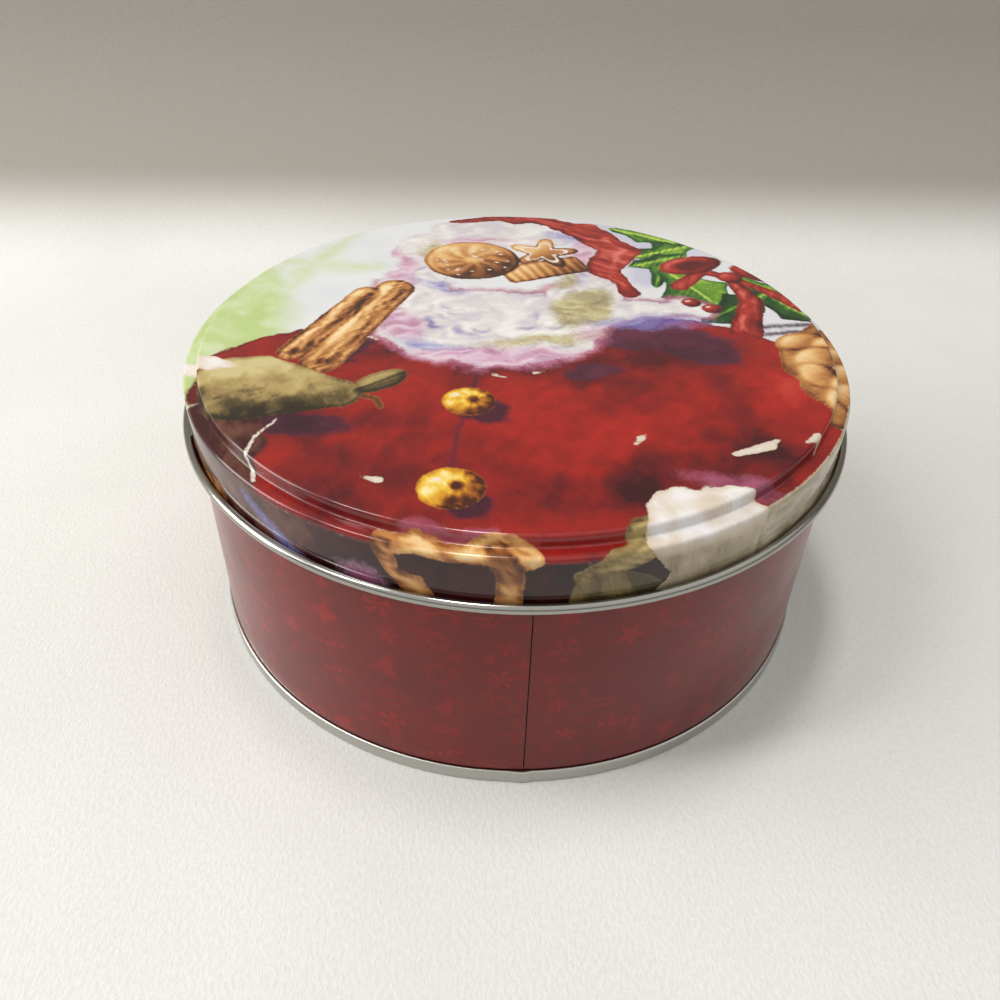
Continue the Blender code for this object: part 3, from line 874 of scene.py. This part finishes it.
def paint_skirt(art):
    """The front of the skirt: gold rope on dark cloth, with plum and slate shadows beside it."""
    below = 101.0 - art.out
    hem = np.maximum(below, art.loose[1] + 38)
    art.lay("cloth", hem, 0.22 + 0.30 * art.mottle + 0.15 * art.bristle)
    art.lay("cloth", np.maximum(below, art.blot(-6, -112, 60, 30)), 0.06 + 0.24 * art.mottle)
    bank = np.maximum(99.5 - art.out, art.blot(88, -66, 30, 50, 36))
    art.lay("snow", bank, 0.02 + 0.35 * art.streaks(2.0, 8.0, 45, 95), soft=2)
    corner = art.blot(-88, -72, 22, 34, -24)
    art.lay("cloth", corner, 0.28 + 0.40 * art.streaks(2.0, 8.0, 100, 96))
    art.lay("plum", np.maximum(corner + 1, art.blot(-72, -60, 11, 12)), 0.25 + 0.3 * art.mottle)
    gleam = art.smear(((-98, -44), (-92, -62), (-84, -82)), 1.4, 2.6)
    art.lay("bake", gleam, 0.18 + 0.34 * art.bristle, rim=0.2)
    art.lay("sky", art.path(((-71, -76), (-66, -88), (-58, -104)), 0.6, 2.2), 0.2 + 0.4 * art.bristle)
    art.lay("snow", art.path(((-62, -50), (-66, -58), (-67, -66), (-65, -74)), 0.35, 0.6), 0.8)
    art.lay("plum", art.blot(-34, -106, 22, 7, -16), 0.25 + 0.3 * art.mottle)
    art.lay("rose", art.blot(-41, -105, 6, 3.4, -30), 0.05 + 0.1 * art.mottle)
    rope = 0.40 + 0.5 * art.streaks(2.0, 5.0, -30, 97)
    art.lay("bake", art.smear(((-30, -93), (-18, -97), (2, -98)), 3.0, 3.8), rope, rim=0.3)
    art.lay("bake", art.smear(((-31, -95), (-30, -104), (-22, -112)), 3.0, 1.8), rope - 0.25, rim=0.3)
    art.lay("bake", art.smear(((-3, -99), (-1, -118)), 3.0, 4.4), rope - 0.18, rim=0.3)
    art.lay("blush", art.smear(((-26, -90), (-14, -93), (-4, -94)), 0.5, 1.1), 0.25)
    art.lay("sack", art.blot(9, -102, 7, 7), 0.50 + 0.3 * art.mottle)
    art.lay("cloth", art.oval(-14, -109, 10, 5.5, -6), 0.12 + 0.2 * art.mottle)
    knot = art.smear(((15, -105), (24, -100), (33, -91)), 2.0, 5.5)
    art.lay("pear", knot, 0.35 + 0.45 * art.bristle, rim=0.3)
    art.lay("pear", art.blot(28, -109, 14, 8), 0.14 + 0.25 * art.mottle)


def paint_snow(art):
    """A snowy trim at the lower right that runs over the ledge, and flecks of bare paper."""
    mound = np.minimum.reduce([
        art.blot(41, -88, 10.5, 13, 24), art.blot(50, -82, 11, 9),
        art.blot(59, -95, 11, 20, 24), art.blot(50, -107, 11, 15, -14)])
    art.lay("blush", art.blot(54, -73, 11, 3, -10), 0.05 + 0.3 * art.mottle, soft=1)
    art.lay("snow", mound, 0.84 + 0.3 * (art.mottle - 0.5), rim=0.15)
    art.lay("snow", art.blot(-91, -22, 13, 3.6, -12), 0.62 + 0.3 * art.mottle, rim=0.1)
    art.dapple("snow", 4.0, [(60, -93, 9, 6, 40, -0.30)])
    art.dapple("snow", 2.0, [(42, -80, 8, 2.5, 14, -0.20)])
    # painted shade: the trim is darkened where it runs down the upright skirt, which takes less light
    art.shade("snow", np.maximum(102 - art.out, mound), -0.58, 3.0)
    art.shade("snow", art.smear(((36, -83), (41, -100)), 1.0, 2.0), -0.2, 2.0)
    flecks = (
        ((-37, -74), (-33, -75), 0.4, 1.2), ((30, -57), (32, -54), 0.5, 0.9),
        ((31, -54), (33, -53), 0.5, 0.4), ((55, -60), (64, -56), 1.0, 1.9),
        ((63, -56), (67, -53), 1.4, 0.5), ((74, -54), (78, -51), 0.5, 1.4),
        ((78, -52), (78, -56), 1.0, 0.4), ((-44, -5), (-41, -7), 0.6, 0.4),
        ((5, -23), (8, -22), 0.7, 0.3), ((-7, -25), (-3, -26), 0.6, 0.2),
        ((86, -6), (95, -22), 0.15, 0.35), ((95, -22), (101, -40), 0.35, 0.15))
    for fleck in flecks:
        art.lay("snow", art.stroke(*fleck), 0.80, rim=0.2)


PAINTING = (paint_ground, paint_holly, paint_sack, paint_skirt, paint_basket, paint_fleece, paint_biscuits,
            paint_ribbon, paint_bow, paint_cinnamon, paint_pear, paint_beads, paint_snow)


def paint_picture(piece):
    """A festive still life, stored on the piece's vertices as each layer's outline and tone."""
    mesh = piece.data
    flat = np.empty(len(mesh.vertices) * 2, np.float32)
    mesh.attributes["flat"].data.foreach_get("vector", flat)
    art = Picture(flat[0::2].astype(float), flat[1::2].astype(float))
    for step in PAINTING:
        step(art)
    for name in LAYERS:
        for suffix, values in (("shape", art.shapes[name]), ("tone", art.tones[name])):
            attribute = mesh.attributes.new(f"{name}_{suffix}", "FLOAT", "POINT")
            attribute.data.foreach_set("value", np.clip(values, -50, 50).astype(np.float32))


def lid_print():
    """Lays the picture's washes over each other, with ragged wet edges, brush grain and pigment."""
    paint = Paint(bpy.data.materials.new("lid_print"))
    place = paint.sheet()
    ragged = paint.noise(place, 1.5, 3.0, 0.65) - 0.5
    pigment = paint.noise(place, 0.9, 4.0, 0.7) - 0.5
    brush = paint.noise(place, 0.8, 2.0, 0.6, (1, 8, 1), 30.0) - 0.5
    stir = pigment * 0.22 + brush * 0.20
    picture = paint.colours(paint.noise(place, 24.0, 4.0) + stir, [ink(colour) for colour in PAPER])
    for name, (soft, rough, cover, *inks) in LAYERS.items():
        shape = paint.stored(f"{name}_shape") + ragged * (2.0 * rough)
        colour = paint.colours(paint.stored(f"{name}_tone") + stir, [ink(colour) for colour in inks])
        picture = paint.mix(paint.ramp(shape, soft, -soft, 0.0, cover), picture, colour)
    varnish(paint, picture, place, LID_GLOSS, LID_DENSITY)
    return paint.owner


# ---------------------------------------------------------------- the pieces

def ripple(angle, height, seed, size):
    """Smooth random unevenness round the tin, about -1 to 1, that closes on itself."""
    place = Vector((math.cos(angle), math.sin(angle), height / WALL_RADIUS)) * WALL_RADIUS / size
    return 2.0 * noise.noise(place + Vector((seed, 0.0, 0.0)))


def dent(angle, radius, height, size):
    """Smooth random unevenness of a panel, about -0.5 to 0.5."""
    return noise.noise(Vector((radius * math.cos(angle), radius * math.sin(angle), height)) / size)


def calmed(distance, reach):
    """0 where a bend or a seam keeps the sheet true, and 1 from reach away from it."""
    return min(1.0, max(0.0, distance / reach))


def make_lid(print_material, tin):
    ledge = LID_SEAT + HALF_SHEET
    panel = ledge + PANEL_RISE
    skirt = WALL_RADIUS + SKIRT_PROUD - HALF_SHEET
    curl_centre = Vector((skirt + LID_CURL_RADIUS, LID_SEAT + SHEET - SKIRT_DEPTH))
    line = rounded([
        (0.0, panel, 0.0),
        (STEP_RADIUS - STEP_LEAN, panel, STEP_TOP_BEND),
        (STEP_RADIUS + STEP_LEAN, ledge, STEP_FOOT_BEND),
        (skirt, ledge, SKIRT_BEND),
        (skirt, curl_centre.y, 0.0),
    ])
    line += arc(curl_centre, LID_CURL_RADIUS, 180, CURL_TURN, CURL_STEPS)[1:]

    def uneven(angle, radius, height):
        up = 0.05 * MM * calmed(STEP_RADIUS - radius, 12 * MM) * dent(angle, radius, 0.0, 38 * MM)
        out = 0.03 * MM * ripple(angle, height, 5.0, 45 * MM) if radius > STEP_RADIUS else 0.0
        return out, up

    materials = (print_material, tin)
    piece = turned("lid_shell", line, materials, flat_disc, uneven, LID_ROWS, LID_SEGMENTS)
    paint_picture(piece)
    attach(piece, "lid")
    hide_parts("lid")


def shaped(piece, tool, operation):
    """Cuts or joins a piece with a tool and keeps the result."""
    boolean = piece.modifiers.new(tool.name, "BOOLEAN")
    boolean.operation = operation
    boolean.solver = "EXACT"
    boolean.object = tool
    graph = bpy.context.evaluated_depsgraph_get()
    whole = piece.evaluated_get(graph)
    mesh = bpy.data.meshes.new_from_object(whole, preserve_all_data_layers=True, depsgraph=graph)
    piece.modifiers.clear()
    piece.data = mesh
    bpy.data.objects.remove(tool)


def upright(name, outline, low, high, materials, printed):
    """A solid of the same outline from low to high. Outline places are (along, inward) at the seam.

    printed(centre, normal) says which of its faces have the second material.
    """
    work = bmesh.new()
    foot = work.faces.new([work.verts.new((along, inward - WALL_RADIUS, low)) for along, inward in outline])
    raised = bmesh.ops.extrude_face_region(work, geom=[foot])["geom"]
    top = [part for part in raised if isinstance(part, bmesh.types.BMVert)]
    bmesh.ops.translate(work, verts=top, vec=(0.0, 0.0, high - low))
    bmesh.ops.recalc_face_normals(work, faces=work.faces)
    mesh = bpy.data.meshes.new(name)
    work.to_mesh(mesh)
    work.free()
    for material in materials:
        mesh.materials.append(material)
    for face in mesh.polygons:
        face.material_index = 1 if printed(face.center, face.normal) else 0
    return placed(name, mesh)


def add_lock_seam(wall, materials):
    """Parts the wall at -Y and hooks its two edges into each other behind it."""
    def in_the_slit(centre, normal):
        return normal.y < -0.5 or centre.x > -0.6 * MM and abs(normal.x) > 0.5

    deep = SLIT_DEPTH / 2
    slit = [(0.0, -deep), (SLIT_WIDTH, -deep), (SLIT_WIDTH, deep), (0.0, deep)]
    tool = upright("slit", slit, -SLIT_DEPTH, WALL_TOP + SLIT_DEPTH, materials, in_the_slit)
    shaped(wall, tool, "DIFFERENCE")
    low = NECK_TOP + LOCK_ABOVE_NECK
    high = WALL_TOP - 2 * WALL_CURL_RADIUS - SHEET - LOCK_BELOW_CURL
    first, second, third = [layer * PITCH + HALF_SHEET for layer in (1, 2, 3)]
    leg = -LOCK_SET_BACK - HALF_SHEET
    outer = [(leg, LOCK_BITE, 0.0), (leg, second, LOCK_BEND), (PITCH - LOCK_WIDTH, second, 0.0)]
    leg = SLIT_WIDTH + LOCK_SET_BACK + HALF_SHEET
    far = HALF_SHEET - LOCK_WIDTH
    inner = [(leg, LOCK_BITE, 0.0), (leg, third, LOCK_BEND), (far, third, LOCK_BEND),
             (far, first, LOCK_BEND), (-LOCK_SET_BACK - SHEET - GAP, first, 0.0)]
    for name, corners in (("outer_fold", outer), ("inner_fold", inner)):
        left, right = sheet_sides(rounded(corners))
        outline = [(along, inward) for along, inward, _ in left + right[::-1]]
        shaped(wall, upright(name, outline, low, high, materials, in_the_slit), "UNION")
    wall.data.set_sharp_from_angle(angle=SHARP)


def make_wall(print_material, tin):
    bend = (BODY_HOOK - NECK) / 2
    centre = Vector(((BODY_HOOK + NECK) / 2, PITCH + HALF_SHEET + bend))
    foot = [Vector((BODY_HOOK, centre.y + HOOK_LENGTH))]
    foot += arc(centre, bend, 0, -180, FOLD_STEPS)
    curl_centre = Vector((WALL - WALL_CURL_RADIUS, WALL_TOP - HALF_SHEET - WALL_CURL_RADIUS))
    side = rounded([
        (NECK, centre.y, 0.0),
        (NECK, SEAM_HEIGHT - NECK_CLEAR, NECK_BEND),
        (WALL, NECK_TOP, NECK_BEND),
        (WALL, curl_centre.y, 0.0),
    ])
    line = foot + side[1:] + arc(curl_centre, WALL_CURL_RADIUS, 0, CURL_TURN, CURL_STEPS)[1:]

    def uneven(angle, radius, height):
        from_seam = abs(flat_strip(angle, 0.0, 0.0)[0])
        calm = calmed(height - 6 * MM, 10 * MM) * calmed(from_seam - 5 * MM, 8 * MM)
        return 0.04 * MM * calm * ripple(angle, height, 2.0, 50 * MM), 0.0

    piece = turned("wall_shell", line, (tin, print_material), flat_strip, uneven)
    add_lock_seam(piece, (tin, print_material))
    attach(piece, "can")
    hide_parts("body_wall")


LAP_PROUD = 0.45 * MM             # bulge of the foot ring where it goes round the lock seam
LAP_LEFT = 3.5 * MM               # how far it reaches from the slit
LAP_RIGHT = 1.6 * MM


def make_bottom(tin):
    """The seam's grip stands out a little where it goes round the extra layers of the lock seam."""
    panel = PANEL_RECESS + HALF_SHEET
    bend = (SEAM_OUTER - COVER_HOOK) / 2
    centre = Vector(((SEAM_OUTER + COVER_HOOK) / 2, SEAM_HEIGHT - HALF_SHEET - bend))
    line = rounded([
        (0.0, panel, 0.0),
        (BEAD_RADIUS - BEAD_WIDTH / 2, panel, BEAD_BEND),
        (BEAD_RADIUS - BEAD_TOP_WIDTH / 2, panel + BEAD_HEIGHT, BEAD_BEND),
        (BEAD_RADIUS + BEAD_TOP_WIDTH / 2, panel + BEAD_HEIGHT, BEAD_BEND),
        (BEAD_RADIUS + BEAD_WIDTH / 2, panel, BEAD_BEND),
        (CHUCK_WALL, panel, STAND_BEND),
        (CHUCK_WALL, HALF_SHEET, STAND_BEND),
        (SEAM_OUTER, HALF_SHEET, STAND_BEND),
        (SEAM_OUTER, centre.y, 0.0),
    ])
    line += arc(centre, bend, 0, 180, FOLD_STEPS)[1:]
    line.append(Vector((COVER_HOOK, centre.y - HOOK_LENGTH)))

    def uneven(angle, radius, height):
        from_seam = flat_strip(angle, 0.0, 0.0)[0]
        lap = max(0.0, 1.0 - (from_seam / (LAP_LEFT if from_seam < 0 else LAP_RIGHT)) ** 2)
        out = LAP_PROUD * lap if radius > WALL_RADIUS else 0.0
        up = 0.05 * MM * calmed(CHUCK_WALL - 8 * MM - radius, 10 * MM) * dent(angle, radius, 9 * MM, 30 * MM)
        return out, up

    piece = turned("bottom_shell", line, (tin, tin), flat_disc, uneven)
    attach(piece, "can")
    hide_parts("bottom_end")


# ---------------------------------------------------------------- floor, light, camera

CLOTH = (0.67, 0.67, 0.65)
CLOTH_DULL = (0.60, 0.60, 0.58)
# painted shade: the darker colour the cloth takes as it rises behind the tin
SHADED_BACKDROP = (0.290, 0.268, 0.238)
FLOOR_REACH = 1.6                 # in front of the tin
FLOOR_REACH_ASIDE = 2.2
BACKDROP_START = 0.20             # where the floor begins to rise, behind the tin's axis
BACKDROP_BEND = 0.14
BACKDROP_TURN = 78                # degrees of that bend
BACKDROP_RISE = Vector((0.2, 0.98)) * 1.2


def make_stage():
    """A pale cloth-covered table that rises into a greyer backdrop far behind the tin, darkened as painted
    shade where it rises.
    """
    paint = Paint(bpy.data.materials.new("pale_cloth"))
    place = paint.node("ShaderNodeTexCoord").outputs["Object"]
    weave = paint.noise(place, 0.0011, 2.0, 0.6, (1, 1.6, 1))
    clouds = paint.noise(place, 0.12, 3.0)
    base = paint.mix(paint.ramp(weave * 0.5 + clouds * 0.5, 0.3, 0.7), CLOTH_DULL, CLOTH)
    # painted shade: the cloth turns to the darker backdrop colour as it rises
    base = paint.mix(paint.ramp(paint.split(place)[2], 0.004, 0.038), base, SHADED_BACKDROP)
    paint.surface({"Base Color": base, "Roughness": 0.9})
    paint.bump(weave, 0.0002)
    profile = [Vector((-FLOOR_REACH, 0.0)), Vector((BACKDROP_START, 0.0))]
    profile += arc(Vector((BACKDROP_START, BACKDROP_BEND)), BACKDROP_BEND, -90, BACKDROP_TURN, 32)[1:]
    profile.append(profile[-1] + BACKDROP_RISE)
    coords = [(side * FLOOR_REACH_ASIDE, point.x, point.y) for point in profile for side in (-1, 1)]
    faces = [(2 * i, 2 * i + 1, 2 * i + 3, 2 * i + 2) for i in range(len(profile) - 1)]
    mesh = bpy.data.meshes.new("floor")
    mesh.from_pydata(coords, [], faces)
    mesh.materials.append(paint.owner)
    floor = placed("floor", mesh)
    floor.data.shade_smooth()


ROOM_WALLS = 0.25                 # brightness of the room at eye height and overhead
CEILING = 0.90


def make_lamp(name, place, target, size, power, colour):
    light = bpy.data.lights.new(name, "AREA")
    light.shape = "RECTANGLE"
    light.size, light.size_y = size
    light.energy = power
    light.color = colour
    lamp = placed(name, light)
    lamp.location = place
    lamp.rotation_euler = (Vector(target) - Vector(place)).to_track_quat("-Z", "Y").to_euler()


def make_light():
    """A room with a bright ceiling and dim walls, a window at the left and two ceiling lamps."""
    room = Paint(bpy.data.worlds.new("soft_room"), "Background")
    towards = room.node("ShaderNodeTexCoord").outputs["Generated"]
    rise = room.ramp(room.split(towards)[2], 0.0, 0.75, ROOM_WALLS, CEILING)
    room.surface({"Color": (1.0, 0.985, 0.96), "Strength": rise})
    bpy.context.scene.world = room.owner
    bpy.context.scene.view_settings.view_transform = "Standard"
    middle = (0.0, 0.0, 0.05)
    make_lamp("window", (-1.6, 0.1, 0.70), middle, (1.2, 1.0), 23.0, (1.0, 0.99, 0.97))
    make_lamp("ceiling_left", (-0.75, -0.25, 1.15), middle, (0.16, 0.45), 4.0, (1.0, 0.98, 0.94))
    make_lamp("ceiling_mid", (-0.12, 0.05, 1.3), middle, (0.42, 0.16), 5.0, (1.0, 0.98, 0.94))


CAMERA_PLACE = (-0.158, -2.513, 2.238)    # in wall radii
CAMERA_DIP = 38.61
CAMERA_ROLL = 1.65
LENS = 32.4
SENSOR = 36.0


def make_camera():
    data = bpy.data.cameras.new("camera")
    data.lens = LENS
    data.sensor_width = SENSOR
    data.clip_start = 0.01
    camera = placed("camera", data)
    turn = Matrix.Rotation(math.radians(CAMERA_TURN), 4, "Z")
    dip = Matrix.Rotation(math.radians(90 - CAMERA_DIP), 4, "X")
    roll = Matrix.Rotation(math.radians(CAMERA_ROLL), 4, "Z")
    place = Matrix.Translation(Vector(CAMERA_PLACE) * WALL_RADIUS)
    camera.matrix_world = place @ turn @ dip @ roll
    bpy.context.scene.camera = camera


make_camera()
make_light()
make_stage()
bright_tin = tin_material("bright_tin", (0.66, 0.655, 0.625), 0.35, 0.14, 0.0012 * MM)
# painted shade: a darker copy of the same tinplate for the lid, standing in for the shade on its curl
shade_darkened_tin = tin_material("shade_darkened_tin", (0.40, 0.39, 0.36), 0.35, 0.12, 0.0012 * MM)
satin_tin = tin_material("satin_tin", (0.545, 0.535, 0.50), 0.5, 0.30, 0.003 * MM)
make_lid(lid_print(), shade_darkened_tin)
make_wall(wall_print(), bright_tin)
make_bottom(satin_tin)
